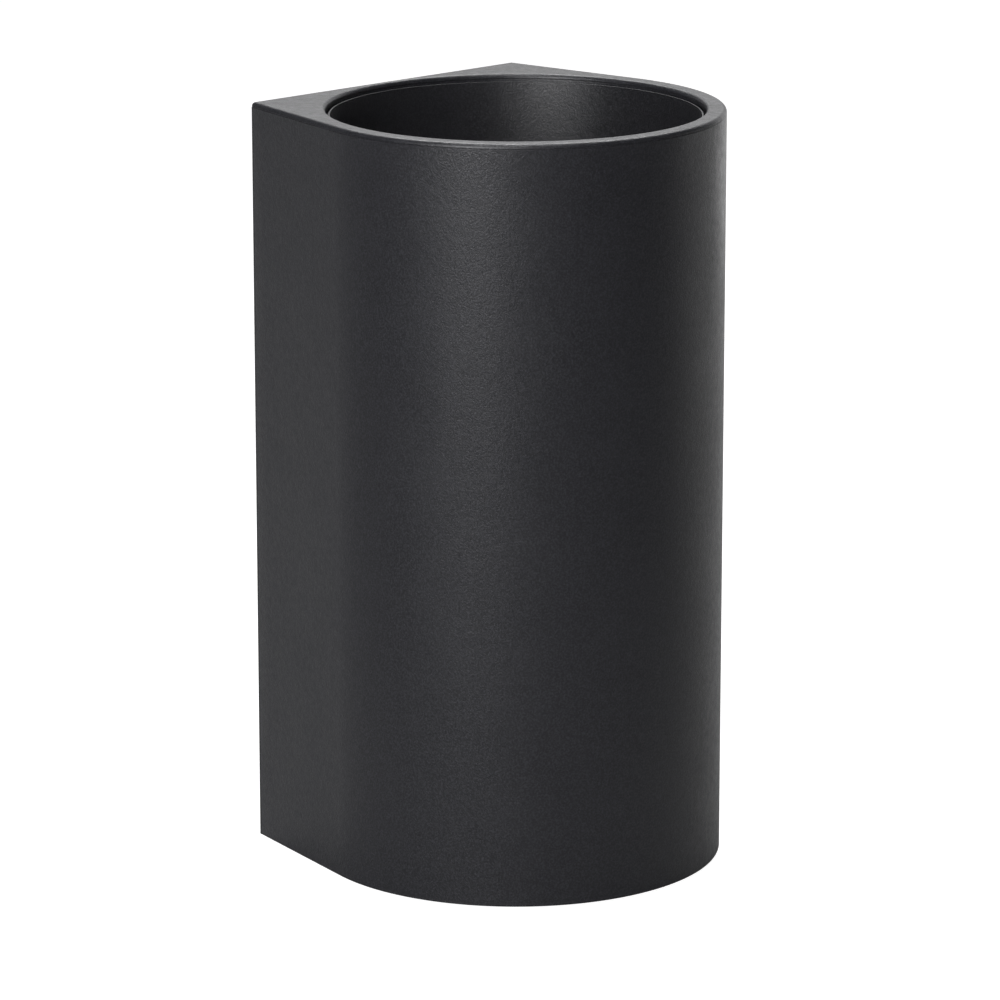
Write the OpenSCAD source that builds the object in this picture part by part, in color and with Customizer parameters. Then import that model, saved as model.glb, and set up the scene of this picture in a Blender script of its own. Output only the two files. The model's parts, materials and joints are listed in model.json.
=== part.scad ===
// Ashtray bin: D-plan steel casing with a round mouth, lift-out liner with a bail handle,
// and a recessed ash tray. Millimetres, +Z up, round front towards -Y, flat back towards +Y.

/* [Casing] */
// Radius of the round front
front_r = 125; // [120:1:128]
// Width across the flat back
back_w = 211; // [200:1:220]
// Distance from the front circle's centre to the back face
back_d = 118; // [118:1:130]
// Height of the casing above its feet
body_h = 457; // [420:1:520]
// Sheet thickness of shell, back and base
sheet_t = 2; // [1.5:0.5:2.5]
// Width of the return flanges behind the back panel
flange_w = 18; // [14:1:24]

/* [Top plate] */
// Thickness of the top plate
top_t = 3; // [2.6:0.1:4]
// Radius of the round mouth
mouth_r = 113; // [112.8:0.1:114]
// Rounding of the mouth's top edge
mouth_edge_r = 2.4; // [1:0.1:2.5]
// Height of the guide ring under the mouth
collar_h = 10; // [6:1:16]

/* [Wall fixing] */
// Distance between the fixing holes across the back
fix_x = 120; // [80:5:140]
// Distance between the fixing holes up the back
fix_z = 300; // [200:10:340]
// Radius of the fixing holes
fix_r = 4.25; // [3:0.25:5]

/* [Base] */
// Height of the rubber feet
foot_h = 3; // [2:0.5:3]
// Radius of the rubber feet
foot_r = 12; // [10:1:14]
// Height of the rubber rests under the liner
rest_h = 9.7; // [8:0.1:15]
// Radius of the drain holes
drain_r = 5; // [3:1:8]

/* [Liner] */
// Outer radius of the liner
liner_r = 111.5; // [111:0.1:111.6]
// Sheet thickness of the liner
liner_t = 1.2; // [0.8:0.1:1.4]
// Drop from the casing's top face to the liner's rim
rim_drop = 4.3; // [3.5:0.1:8]

/* [Handle] */
// Depth of the handle's pivot below the top face
pivot_drop = 58; // [54:1:90]
// Radius of the handle's bow
bow_r = 100; // [99:0.5:100]
// Radius of the handle's wire
wire_r = 2.5; // [2:0.1:2.5]
// Radius of the grip
grip_r = 4.5; // [4:0.1:4.6]

/* [Ash tray] */
// Outer radius of the tray
tray_r = 94.5; // [92:0.5:94.5]
// Depth of the dish
dish_h = 22; // [18:1:30]
// Radius of the drop hole
drop_r = 27; // [25:1:30]
// Height of the lip around the drop hole
lip_h = 7; // [6:1:9]

/* [Hidden] */
$fn = 128;
fine = 24;
cut = 1;
gap = 0.3;
powder_grey = [0.14, 0.14, 0.15];
liner_grey = [0.17, 0.17, 0.18];
zinc = [0.62, 0.63, 0.64];
rubber_black = [0.05, 0.05, 0.05];
steel = [0.70, 0.70, 0.71];

// Plan: straight sides run from the back corners and touch the front circle at tan_a.
centre_y = (front_r - back_d) / 2;
tan_a = atan2(back_d, back_w / 2) - acos(front_r / norm([back_w / 2, back_d]));
top_z = foot_h + body_h;
plate_z = top_z - top_t;
shell_h = body_h - top_t;
panel_y = back_d - sheet_t;
flange_y = back_d - 2 * sheet_t;
mid_z = foot_h + body_h / 2;

strap_w = 160;
strap_h = 32;
strap_t = 2.5;
rivet_r = 2;
rivet_head_r = 3.8;
rivet_head_h = 1.2;
rivet_inset = 9;
rivet_rows = 5;
rivet_end = 32;
hole_gap = 0.05;
collar_gap = 0.6;
collar_t = 2;

base_lip_h = 14;
foot_spots = [[-60, -75], [60, -75], [-75, 92], [75, 92]];
screw_r = 2;
screw_head_r = 4;
screw_head_h = 2.4;
screw_cover = 1.2;
rest_r = 10;
rest_at = 85;
drain_at = 45;

liner_in_r = liner_r - liner_t;
liner_z = foot_h + sheet_t + rest_h + gap;
rim_z = top_z - rim_drop;
liner_lip_h = 12;

pivot_z = top_z - pivot_drop;
ledge_z = pivot_z - wire_r - gap;
bracket_t = 1.8;
bracket_w = 18;
bracket_h = 26;
bracket_in = 86;
bracket_out = liner_in_r - 0.5;
leg_x = bracket_out - bracket_t;
bracket_rows = [9, 19];
pop_r = 1.6;
pop_head_r = 3;
pop_in_h = 1.1;
pop_out_h = 0.8;

ear_x = 104.5;
ear_w = 16;
ear_step = 9;
ear_leg = 21;
ear_rows = [8, 16];
ear_hole_r = wire_r + hole_gap;
knuckle_r = wire_r + 0.2;
pin_head_r = 3.5;
pin_head_h = 1.2;
pin_head_x = ear_x + bracket_t + 0.5;
grip_a = 36;

tray_t = 1;
tray_z = ledge_z + gap + tray_t;
flange_in = 82;
floor_r = 78;
floor_z = tray_z - dish_h;
lip_z = floor_z + lip_h;
grid_t = 1.5;
grid_skirt_h = 5;
grid_in = drop_r + tray_t + 0.5;
grid_out = grid_in + grid_t;
window_r = drop_r - 2.5;
hub_r = 10;
spoke_w = 5;
grid_rivet_r = 1.2;
grid_rivet_head = 2;
seat = 0.1;
knob_z = lip_z + grid_t;
knob_screw_r = 2;
knob_screw_up = 7;
knob_r = 9;
knob_top_r = 7.5;
knob_foot_r = 6;
knob_waist_r = 5;
knob_waist_z = 3;
knob_rim_z = 7;
knob_edge_z = 9.5;
knob_h = 11;

// x of a straight side at height y, for a wall whose front radius is r
function side_x(r, y) = (r - sin(tan_a) * y) / cos(tan_a);

function touch(r) = [r * cos(tan_a), r * sin(tan_a)];

function flip(p) = [-p[0], p[1]];

// D plan, moved in by side_in round the front and sides and by back_in at the back
module d_plan(side_in, back_in) {
  r = front_r - side_in;
  y = back_d - back_in;
  t = touch(r);
  p = [side_x(r, y), y];
  far = [2 * r, 3 * r];
  difference() {
    circle(r = r);
    polygon([[0, 0], 2 * t, far, flip(far), flip(2 * t)]);
  }
  polygon([[0, -r / 2], t, p, flip(p), flip(t)]);
}

module d_block(side_in, back_in, z, h) {
  translate([0, centre_y, z]) linear_extrude(h) d_plan(side_in, back_in);
}

// cylinder along +Y from y0 to y1, measured from the front circle's centre
module rod_y(x, y0, y1, z, r) {
  translate([x, centre_y + y0, z]) rotate([-90, 0, 0]) cylinder(r = r, h = y1 - y0);
}

// cylinder along the radius from x0 to x1
module rod_x(x0, x1, z, r) {
  translate([x0, 0, z]) rotate([0, 90, 0]) cylinder(r = r, h = x1 - x0);
}

module around(angles) {
  translate([0, centre_y, 0]) for (a = angles) rotate([0, 0, a]) children();
}

bracket_angles = [45, 135, 225, 315];
ear_angles = [0, 180];

module each_back_rivet() {
  x = side_x(front_r - sheet_t, flange_y) - rivet_inset;
  step = (shell_h - 2 * rivet_end) / (rivet_rows - 1);
  for (s = [-1, 1]) for (i = [0 : rivet_rows - 1])
    translate([s * x, 0, foot_h + rivet_end + i * step]) children();
}

module each_fixing() {
  for (x = [-fix_x, fix_x]) for (z = [-fix_z, fix_z]) translate([x / 2, 0, mid_z + z / 2]) children();
}

module each_foot() {
  for (p = foot_spots) translate([p[0], centre_y + p[1], 0]) children();
}

// rolled sheet: round front, straight sides and return flanges at the back
module front_shell() color(powder_grey) {
  gap_w = 2 * (side_x(front_r - sheet_t, flange_y) - flange_w);
  difference() {
    d_block(0, sheet_t, foot_h, shell_h);
    d_block(sheet_t, 2 * sheet_t, foot_h - cut, shell_h + 2 * cut);
    translate([-gap_w / 2, centre_y + flange_y - cut, foot_h - cut])
      cube([gap_w, sheet_t + 2 * cut, shell_h + 2 * cut]);
    each_back_rivet() rod_y(0, flange_y - cut, panel_y + cut, 0, rivet_r + hole_gap);
  }
}

module back_panel() color(powder_grey) {
  difference() {
    intersection() {
      d_block(0, 0, foot_h, shell_h);
      translate([-back_w, centre_y + panel_y, foot_h - cut])
        cube([2 * back_w, sheet_t + cut, shell_h + 2 * cut]);
    }
    each_back_rivet() rod_y(0, panel_y - cut, back_d + cut, 0, rivet_r + hole_gap);
    each_fixing() rod_y(0, panel_y - cut, back_d + cut, 0, fix_r);
  }
}

// flat plate with the round mouth, its inner edge rounded over
module top_plate() color(powder_grey) {
  translate([0, centre_y, plate_z]) difference() {
    linear_extrude(top_t) d_plan(0, 0);
    translate([0, 0, -cut]) cylinder(r = mouth_r, h = top_t + 2 * cut);
    translate([0, 0, top_t - mouth_edge_r]) rotate_extrude() difference() {
      square([mouth_r + mouth_edge_r, mouth_edge_r + cut]);
      translate([mouth_r + mouth_edge_r, 0]) circle(r = mouth_edge_r, $fn = fine);
    }
  }
}

module ring(r0, r1, z, h) {
  translate([0, centre_y, z]) difference() {
    cylinder(r = r1, h = h);
    translate([0, 0, -cut]) cylinder(r = r0, h = h + 2 * cut);
  }
}

module mouth_collar() color(powder_grey) {
  ring(mouth_r + collar_gap, mouth_r + collar_gap + collar_t, plate_z - collar_h, collar_h);
}

module base_plate() color(powder_grey) {
  difference() {
    d_block(sheet_t, 2 * sheet_t, foot_h, base_lip_h);
    d_block(2 * sheet_t, 3 * sheet_t, foot_h + sheet_t, base_lip_h);
    each_foot() translate([0, 0, foot_h - cut]) cylinder(r = screw_r + hole_gap, h = sheet_t + 2 * cut);
    around(bracket_angles) translate([drain_at, 0, foot_h - cut])
      cylinder(r = drain_r, h = sheet_t + 2 * cut);
  }
}

// two straps that back the fixing holes inside the casing
module wall_straps() color(zinc) {
  for (s = [-1, 1]) difference() {
    translate([-strap_w / 2, centre_y + panel_y - strap_t, mid_z + s * fix_z / 2 - strap_h / 2])
      cube([strap_w, strap_t, strap_h]);
    each_fixing() rod_y(0, panel_y - strap_t - cut, panel_y + cut, 0, fix_r);
  }
}

// flush outside, headed inside
module back_rivets() color(powder_grey) {
  each_back_rivet() {
    rod_y(0, flange_y, back_d, 0, rivet_r);
    rod_y(0, flange_y - rivet_head_h, flange_y, 0, rivet_head_r);
  }
}

module liner_rests() color(rubber_black) {
  around([0, 90, 180, 270]) translate([rest_at, 0, foot_h + sheet_t]) cylinder(r = rest_r, h = rest_h);
}

module rubber_feet() color(rubber_black) {
  each_foot() difference() {
    cylinder(r = foot_r, h = foot_h);
    translate([0, 0, screw_cover]) cylinder(r = screw_r, h = foot_h);
  }
}

module foot_screws() color(zinc) {
  each_foot() {
    translate([0, 0, screw_cover]) cylinder(r = screw_r, h = foot_h + sheet_t - screw_cover);
    translate([0, 0, foot_h + sheet_t]) cylinder(r = screw_head_r, h = screw_head_h);
  }
}

module each_bracket_hole() {
  around(bracket_angles) for (d = bracket_rows) translate([0, 0, ledge_z - d]) children();
}

module each_ear_hole() {
  around(ear_angles) for (d = ear_rows) translate([0, 0, pivot_z - ear_step - d]) children();
}

module liner_wall() color(liner_grey) {
  difference() {
    ring(liner_in_r, liner_r, liner_z, rim_z - liner_z);
    each_bracket_hole() rod_x(bracket_out, liner_r + cut, 0, pop_r + hole_gap);
    each_ear_hole() rod_x(bracket_out, liner_r + cut, 0, pop_r + hole_gap);
  }
}

// dished disc inside the foot of the wall
module liner_floor() color(liner_grey) {
  translate([0, centre_y, liner_z]) difference() {
    cylinder(r = liner_in_r, h = liner_lip_h);
    translate([0, 0, liner_t]) cylinder(r = liner_in_r - liner_t, h = liner_lip_h);
  }
}

// angle brackets that carry the tray's flange and stop the handle
module tray_brackets() color(zinc) {
  difference() {
    around(bracket_angles) {
      translate([leg_x, -bracket_w / 2, ledge_z - bracket_h]) cube([bracket_t, bracket_w, bracket_h]);
      translate([bracket_in, -bracket_w / 2, ledge_z - bracket_t])
        cube([bracket_out - bracket_in, bracket_w, bracket_t]);
    }
    each_bracket_hole() rod_x(leg_x - cut, bracket_out + cut, 0, pop_r + hole_gap);
  }
}

module pop_rivet() {
  rod_x(leg_x - pop_in_h, leg_x, 0, pop_head_r);
  rod_x(leg_x - pop_in_h / 2, liner_r + pop_out_h / 2, 0, pop_r);
  rod_x(liner_r, liner_r + pop_out_h, 0, pop_head_r);
}

module bracket_rivets() color(zinc) {
  each_bracket_hole() pop_rivet();
}

// stepped brackets with the handle's pivot holes
module handle_ears() color(zinc) {
  difference() {
    around(ear_angles) {
      rod_x(ear_x, ear_x + bracket_t, pivot_z, ear_w / 2);
      translate([ear_x, -ear_w / 2, pivot_z - ear_step]) cube([bracket_t, ear_w, ear_step]);
      translate([ear_x, -ear_w / 2, pivot_z - ear_step - bracket_t])
        cube([bracket_out - ear_x, ear_w, bracket_t]);
      translate([leg_x, -ear_w / 2, pivot_z - ear_step - ear_leg]) cube([bracket_t, ear_w, ear_leg]);
    }
    around(ear_angles) rod_x(ear_x - cut, ear_x + bracket_t + cut, pivot_z, ear_hole_r);
    each_ear_hole() rod_x(leg_x - cut, bracket_out + cut, 0, pop_r + hole_gap);
  }
}

module ear_rivets() color(zinc) {
  each_ear_hole() pop_rivet();
}

// half-round wire bow, turned out into pins with upset ends
module bail_handle() color(steel) {
  translate([0, centre_y, pivot_z]) rotate([0, 0, 180]) rotate_extrude(angle = 180)
    translate([bow_r, 0]) circle(r = wire_r, $fn = 2 * fine);
  around(ear_angles) {
    translate([bow_r, 0, pivot_z]) sphere(r = knuckle_r, $fn = 2 * fine);
    rod_x(bow_r, pin_head_x + pin_head_h / 2, pivot_z, wire_r);
    rod_x(pin_head_x, pin_head_x + pin_head_h, pivot_z, pin_head_r);
  }
}

module handle_grip() color(rubber_black) {
  translate([0, centre_y, pivot_z]) rotate([0, 0, 270 - grip_a / 2]) rotate_extrude(angle = grip_a)
    translate([bow_r, 0]) difference() {
      circle(r = grip_r, $fn = 2 * fine);
      circle(r = wire_r + hole_gap, $fn = 2 * fine);
    }
}

// spun dish with a flat flange outside and a raised lip round the drop hole
module ash_tray() color(steel) {
  difference() {
    translate([0, centre_y, 0]) rotate_extrude() polygon([
      [tray_r, tray_z], [tray_r, tray_z - tray_t], [flange_in + tray_t, tray_z - tray_t],
      [floor_r + tray_t, floor_z - tray_t], [drop_r, floor_z - tray_t], [drop_r, lip_z],
      [drop_r + tray_t, lip_z], [drop_r + tray_t, floor_z], [floor_r, floor_z], [flange_in, tray_z]]);
    each_grid_rivet() rod_x(drop_r - cut, grid_in, 0, grid_rivet_r + hole_gap);
  }
}

module each_grid_rivet() {
  around(bracket_angles) translate([0, 0, lip_z - grid_skirt_h / 2]) children();
}

// four-window plate with a skirt over the lip; ends are put out on it and drop through
module stub_grid() color(steel) {
  difference() {
    union() {
      ring(grid_in, grid_out, lip_z - grid_skirt_h, grid_skirt_h + grid_t);
      difference() {
        ring(knob_screw_r + hole_gap, grid_out - grid_t / 2, lip_z, grid_t);
        difference() {
          ring(hub_r, window_r, lip_z - cut, grid_t + 2 * cut);
          around([0, 90]) translate([-window_r, -spoke_w / 2, lip_z - 2 * cut])
            cube([2 * window_r, spoke_w, grid_t + 4 * cut]);
        }
      }
    }
    each_grid_rivet() rod_x(grid_in - cut, grid_out + cut, 0, grid_rivet_r + hole_gap);
  }
}

module grid_rivets() color(steel) {
  each_grid_rivet() {
    rod_x(drop_r - tray_t - seat, drop_r - seat, 0, grid_rivet_head);
    rod_x(drop_r - tray_t / 2 - seat, grid_out + tray_t / 2, 0, grid_rivet_r);
    rod_x(grid_out, grid_out + tray_t, 0, grid_rivet_head);
  }
}

module tray_knob() color(rubber_black) {
  translate([0, centre_y, knob_z]) rotate_extrude() polygon([
    [knob_screw_r, 0], [knob_foot_r, 0], [knob_waist_r, knob_waist_z], [knob_r, knob_rim_z],
    [knob_r, knob_edge_z], [knob_top_r, knob_h], [0, knob_h], [0, knob_screw_up],
    [knob_screw_r, knob_screw_up]]);
}

module knob_screw() color(zinc) {
  translate([0, centre_y, lip_z - screw_head_h]) {
    cylinder(r = screw_head_r, h = screw_head_h);
    cylinder(r = knob_screw_r, h = screw_head_h + grid_t + knob_screw_up);
  }
}

front_shell();
back_panel();
top_plate();
mouth_collar();
base_plate();
wall_straps();
back_rivets();
liner_rests();
rubber_feet();
foot_screws();
liner_wall();
liner_floor();
tray_brackets();
bracket_rivets();
handle_ears();
ear_rivets();
bail_handle();
handle_grip();
ash_tray();
stub_grid();
grid_rivets();
tray_knob();
knob_screw();
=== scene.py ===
import json
import math

import bmesh
import bpy
from mathutils import Matrix, Vector


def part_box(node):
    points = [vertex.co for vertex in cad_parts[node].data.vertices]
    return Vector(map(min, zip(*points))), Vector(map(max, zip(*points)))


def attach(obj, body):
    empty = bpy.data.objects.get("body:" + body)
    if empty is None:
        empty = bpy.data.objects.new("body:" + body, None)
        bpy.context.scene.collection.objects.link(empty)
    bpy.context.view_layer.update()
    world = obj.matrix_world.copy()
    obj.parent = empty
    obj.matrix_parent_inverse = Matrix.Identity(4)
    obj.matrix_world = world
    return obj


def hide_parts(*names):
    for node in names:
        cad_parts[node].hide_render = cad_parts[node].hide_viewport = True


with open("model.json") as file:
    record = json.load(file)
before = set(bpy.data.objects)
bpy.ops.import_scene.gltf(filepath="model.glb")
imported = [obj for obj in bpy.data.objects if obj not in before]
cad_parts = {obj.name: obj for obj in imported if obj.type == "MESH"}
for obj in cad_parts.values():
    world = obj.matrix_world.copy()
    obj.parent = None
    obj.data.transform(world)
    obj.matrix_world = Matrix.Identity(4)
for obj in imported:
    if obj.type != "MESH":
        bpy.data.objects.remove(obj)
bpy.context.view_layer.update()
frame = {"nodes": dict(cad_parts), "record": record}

bl_info = {
    "name": "Ashtray Bin",
    "version": (1, 0, 0),
    "blender": (4, 5, 0),
    "location": "View3D > Sidebar > Ashtray Bin",
    "description": "Builds the finished pieces and the studio of a D-plan ashtray bin on its CAD frame",
    "category": "Object",
}


def node_low(name):
    """Lower corner of a CAD node's box."""
    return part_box(name)[0]


def node_high(name):
    """Upper corner of a CAD node's box."""
    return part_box(name)[1]


def length(label, text, default, low=0.0):
    """A size property in metres."""
    return bpy.props.FloatProperty(
        name=label,
        description=text,
        default=default,
        min=low,
        unit="LENGTH",
        subtype="DISTANCE",
        precision=5,
    )


def angle(label, text, degrees):
    """An angle property, its default given in degrees."""
    return bpy.props.FloatProperty(
        name=label, description=text, default=math.radians(degrees), subtype="ANGLE", unit="ROTATION"
    )


def amount(label, text, default):
    """A plain number property."""
    return bpy.props.FloatProperty(name=label, description=text, default=default)


def tint(label, text, default):
    """A colour property."""
    return bpy.props.FloatVectorProperty(
        name=label, description=text, default=default, size=3, min=0.0, max=1.0, subtype="COLOR"
    )


# ---------------------------------------------------------------------------
# Sizes and finishes a user may change
# ---------------------------------------------------------------------------


class CasingSizes(bpy.types.PropertyGroup):
    """Sizes of the fixed casing."""

    front_radius: length("Front radius", "Radius of the round front", 0.125)
    back_width: length("Back width", "Width across the flat back", 0.211)
    back_distance: length("Back distance", "From the front circle's centre to the back face", 0.118)
    sheet: length("Sheet", "Thickness of the casing's sheet", 0.002)
    flange: length("Flange", "Width of the return flanges inside the back panel", 0.018)
    outer_edge: length("Outer edge", "Rounding of the top plate's outer edge", 0.0026)
    mouth_radius: length("Mouth radius", "Radius of the round mouth", 0.113)
    mouth_edge: length("Mouth edge", "Rounding of the mouth's top edge", 0.0024)
    back_corner: length("Back corner", "Rounding of the upright back corners", 0.0009)


class LinerSizes(bpy.types.PropertyGroup):
    """Sizes of the lift-out liner and what is fixed to it."""

    radius: length("Liner radius", "Outer radius of the liner", 0.1115)
    sheet: length("Liner sheet", "Thickness of the liner's sheet", 0.0012)
    rim_edge: length("Rim edge", "Rounding of the liner's outer rim", 0.0010)
    wire: length("Wire radius", "Radius of the handle's wire", 0.0025)
    bow: length("Bow radius", "Radius of the handle's bow", 0.100)
    grip: length("Grip radius", "Radius of the handle's grip", 0.0045)
    bracket_edge: length("Bracket edge", "Softening of the brackets' edges", 0.0003)


class TraySizes(bpy.types.PropertyGroup):
    """Sizes of the ash tray and its grid."""

    radius: length("Tray radius", "Outer radius of the tray's flange", 0.0945)
    sheet: length("Tray sheet", "Thickness of the tray's sheet", 0.001)
    depth: length("Dish depth", "Depth of the dish", 0.022)
    drop: length("Drop radius", "Radius of the drop hole", 0.027)
    lip: length("Lip height", "Height of the lip round the drop hole", 0.007)
    bend: length("Bend radius", "Radius of the tray's bends", 0.0018)


class Finishes(bpy.types.PropertyGroup):
    """Colours of the finishes."""

    powder: tint("Powder coat", "Base colour of the casing", (0.0145, 0.0146, 0.0172))
    # The liner's colour is the casing's powder coat made darker, as painted shade for the dim inside of the
    # mouth
    liner: tint("Liner coat", "Base colour of the liner", (0.0105, 0.0105, 0.0122))
    zinc: tint("Zinc plate", "Base colour of the plated fittings", (0.46, 0.47, 0.48))
    stainless: tint("Stainless", "Base colour of the stainless pieces", (0.34, 0.335, 0.325))
    rubber: tint("Rubber", "Base colour of feet and rests", (0.018, 0.018, 0.019))
    plastic: tint("Plastic", "Base colour of grip and knob", (0.016, 0.016, 0.018))
    floor: tint("Floor", "Colour of the studio floor", (0.3, 0.3, 0.3))


class StudioSettings(bpy.types.PropertyGroup):
    """Camera and light of the studio."""

    azimuth: angle("Azimuth", "Camera's turn round the bin", -42.68)
    elevation: angle("Elevation", "Camera's angle above the level", 14.38)
    distance: length("Distance", "From the aim point to the camera", 3.1425)
    aim_height: length("Aim height", "Height of the aim point", 0.2192)
    aim_side: length("Aim side", "Aim point's move to the right", -0.0094, low=-1.0)
    focal: amount("Focal length", "Lens in millimetres", 187.35)
    key_power: amount("Key", "Key light in watts", 45.0)
    top_power: amount("Overhead", "Overhead light in watts", 1.7)
    high_power: amount("Rear high", "High rear light in watts", 38.0)
    rear_power: amount("Rear low", "Low rear light in watts", 4.6)
    right_power: amount("Rear right", "Rear right light in watts", 4.2)
    left_power: amount("Rear left", "Rear left light in watts", 0.7)
    side_power: amount("Side right", "Right side light in watts", 0.9)
    backdrop: amount("Backdrop", "Brightness behind the bin", 0.08)
    floor_glow: amount("Floor glow", "Brightness added to the floor", 1.0)
    far_glow: amount("Far glow", "Floor light behind the bin", 0.23)
    ambient: amount("Ambient", "Brightness in front of the bin", 0.015)


# ---------------------------------------------------------------------------
# Shapes
# ---------------------------------------------------------------------------


# Points of the D outline along a straight side, round a back corner and across the back
SIDE_STEPS = 8
CORNER_STEPS = 5
BACK_STEPS = 14
# Degrees between two faces from which their edge is kept sharp
SHARP_FROM = 32.0
# Radius of the tiny flat at the middle of a turned solid
CORE = 0.0001
# Bearings in degrees of what sits between the front, the sides and the back
DIAGONALS = (45, 135, 225, 315)


def centre_y(casing):
    """Y of the front circle's centre."""
    return (casing.front_radius - casing.back_distance) / 2


def axis_point(casing):
    """The front circle's centre, on which the mouth, liner and tray are turned."""
    return Vector((0.0, centre_y(casing)))


def on_circle(middle, r, turn, z=0.0):
    """Point on a level circle round middle."""
    return Vector((middle.x + r * math.cos(turn), middle.y + r * math.sin(turn), z))


def outward(degrees):
    """Level direction at a bearing from +X."""
    return Vector((math.cos(math.radians(degrees)), math.sin(math.radians(degrees)), 0))


def fillet(points, radius, steps=5, closed=True):
    """A 2D outline with its corners rounded; radius is one value or one for each corner."""
    out, count = [], len(points)
    for i, p in enumerate(points):
        p = Vector(p)
        r = radius[i] if isinstance(radius, (list, tuple)) else radius
        if r <= 0 or (not closed and i in (0, count - 1)):
            out.append(p)
            continue
        a, b = Vector(points[i - 1]) - p, Vector(points[(i + 1) % count]) - p
        reach = min(a.length, b.length) * 0.49
        a.normalize()
        b.normalize()
        half = a.angle(b) / 2
        cut = min(r / math.tan(half), reach)
        middle = p + (a + b).normalized() * (cut / math.cos(half))
        va, vb = p + a * cut - middle, p + b * cut - middle
        turn = va.angle(vb)
        for k in range(steps + 1):
            t = k / steps
            out.append(middle + (va * math.sin((1 - t) * turn) + vb * math.sin(t * turn)) / math.sin(turn))
    return out


def sheet_section(points, thickness, bend, steps=5):
    """Closed section of bent sheet from the open line down its middle."""
    line = fillet(points, bend, steps, closed=False)
    left, right = [], []
    for i, p in enumerate(line):
        ahead = line[min(i + 1, len(line) - 1)] - line[max(i - 1, 0)]
        ahead.normalize()
        side = Vector((-ahead.y, ahead.x)) * thickness / 2
        left.append(p + side)
        right.append(p - side)
    return left + right[::-1]


def plan(casing, side_in=0.0, back_in=0.0, corner=None, front_steps=168):
    """D outline, moved in by side_in and back_in, from the left back corner round the front."""
    full, wide, deep = casing.front_radius, casing.back_width / 2, casing.back_distance
    turn = math.atan2(deep, wide) - math.acos(full / math.hypot(wide, deep))
    r, y = full - side_in, deep - back_in
    corner = casing.back_corner if corner is None else corner
    x = (r - math.sin(turn) * y) / math.cos(turn)
    touch = Vector((r * math.cos(turn), r * math.sin(turn)))
    right_corner = fillet([touch, (x, y), (0, y)], [0, corner, 0], CORNER_STEPS)[1:-1]
    side = [touch.lerp(right_corner[0], k / SIDE_STEPS) for k in range(1, SIDE_STEPS)]
    left_end = Vector((-right_corner[-1].x, y))
    back = [right_corner[-1].lerp(left_end, k / BACK_STEPS) for k in range(1, BACK_STEPS)]
    arc = []
    for k in range(front_steps + 1):
        a = math.pi - turn + (math.pi + 2 * turn) * k / front_steps
        arc.append(Vector((r * math.cos(a), r * math.sin(a))))
    flip = [Vector((-p.x, p.y)) for p in side + right_corner]
    points = flip[::-1] + arc + side + right_corner + back
    shift = Vector((0, centre_y(casing)))
    return [p + shift for p in points]


def at_height(points, z):
    """A 2D outline lifted to a height."""
    return [Vector((p.x, p.y, z)) for p in points]


def make_mesh(name, points, faces, smooth=SHARP_FROM):
    """A mesh object with outward faces, smooth but for its real edges."""
    mesh = bpy.data.meshes.new(name)
    mesh.from_pydata([tuple(p) for p in points], [], faces)
    bm = bmesh.new()
    bm.from_mesh(mesh)
    bmesh.ops.remove_doubles(bm, verts=bm.verts, dist=1e-7)
    bmesh.ops.recalc_face_normals(bm, faces=bm.faces)
    bm.to_mesh(mesh)
    bm.free()
    mesh.shade_smooth()
    mesh.set_sharp_from_angle(angle=math.radians(smooth))
    return show(bpy.data.objects.new(name, mesh))


def show(piece):
    """Adds a new object to the scene."""
    bpy.context.scene.collection.objects.link(piece)
    return piece


def loft(loops, ring=False, caps=False):
    """Points and faces through equal closed loops; ring joins the last loop to the first."""
    count = len(loops[0])
    points = [p for loop in loops for p in loop]
    faces = []
    for i in range(len(loops) if ring else len(loops) - 1):
        a, b = i * count, ((i + 1) % len(loops)) * count
        for k in range(count):
            n = (k + 1) % count
            faces.append((a + k, a + n, b + n, b + k))
    if caps:
        faces.append(tuple(range(count))[::-1])
        last = (len(loops) - 1) * count
        faces.append(tuple(last + k for k in range(count)))
    return points, faces


def spin(section, centre, steps=192, ring=True):
    """Loops of a section of (radius, height) pairs turned round an upright axis."""
    loops = [[on_circle(centre, r, 2 * math.pi * k / steps, z) for k in range(steps)] for r, z in section]
    return loft(loops, ring=ring, caps=not ring)


def tube(path, radii, sides=24, up=Vector((0, 0, 1))):
    """Round bar along a path, with its own radius at each point."""
    loops = []
    for i, p in enumerate(path):
        ahead = (path[min(i + 1, len(path) - 1)] - path[max(i - 1, 0)]).normalized()
        across = ahead.cross(up).normalized()
        over = across.cross(ahead).normalized()
        loops.append(round_loop(p, across, over, radii[i], sides))
    return loft(loops, caps=True)


def round_loop(middle, across, over, r, sides):
    """Circle of points in the plane of two directions."""
    turns = [2 * math.pi * k / sides for k in range(sides)]
    return [middle + (across * math.cos(a) + over * math.sin(a)) * r for a in turns]


def cross_bar(middle, r, span, sides=48):
    """A plain bar along Y across middle, as points and faces."""
    across, over = Vector((1, 0, 0)), Vector((0, 0, -1))
    way = Vector((0, 1, 0))
    ends = [middle + way * end * span for end in (-0.5, 0.5)]
    return loft([round_loop(end, across, over, r, sides) for end in ends], caps=True)


def join_shapes(shapes):
    """Several (points, faces) as one."""
    points, faces = [], []
    for more, some in shapes:
        start = len(points)
        points += more
        faces += [tuple(start + k for k in f) for f in some]
    return points, faces


def soften(piece, width, segments=2, from_angle=35.0):
    """Small rounding on the real edges of a piece."""
    bevel = piece.modifiers.new("Edges", "BEVEL")
    bevel.width = width
    bevel.segments = segments
    bevel.limit_method = "ANGLE"
    bevel.angle_limit = math.radians(from_angle)
    bevel.harden_normals = True
    return piece


def settle(piece):
    """Turns the evaluated piece into a plain mesh and removes its modifiers."""
    bpy.context.view_layer.update()
    graph = bpy.context.evaluated_depsgraph_get()
    mesh = bpy.data.meshes.new_from_object(piece.evaluated_get(graph), depsgraph=graph)
    piece.modifiers.clear()
    piece.data = mesh
    mesh.name = piece.name
    return piece


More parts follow.
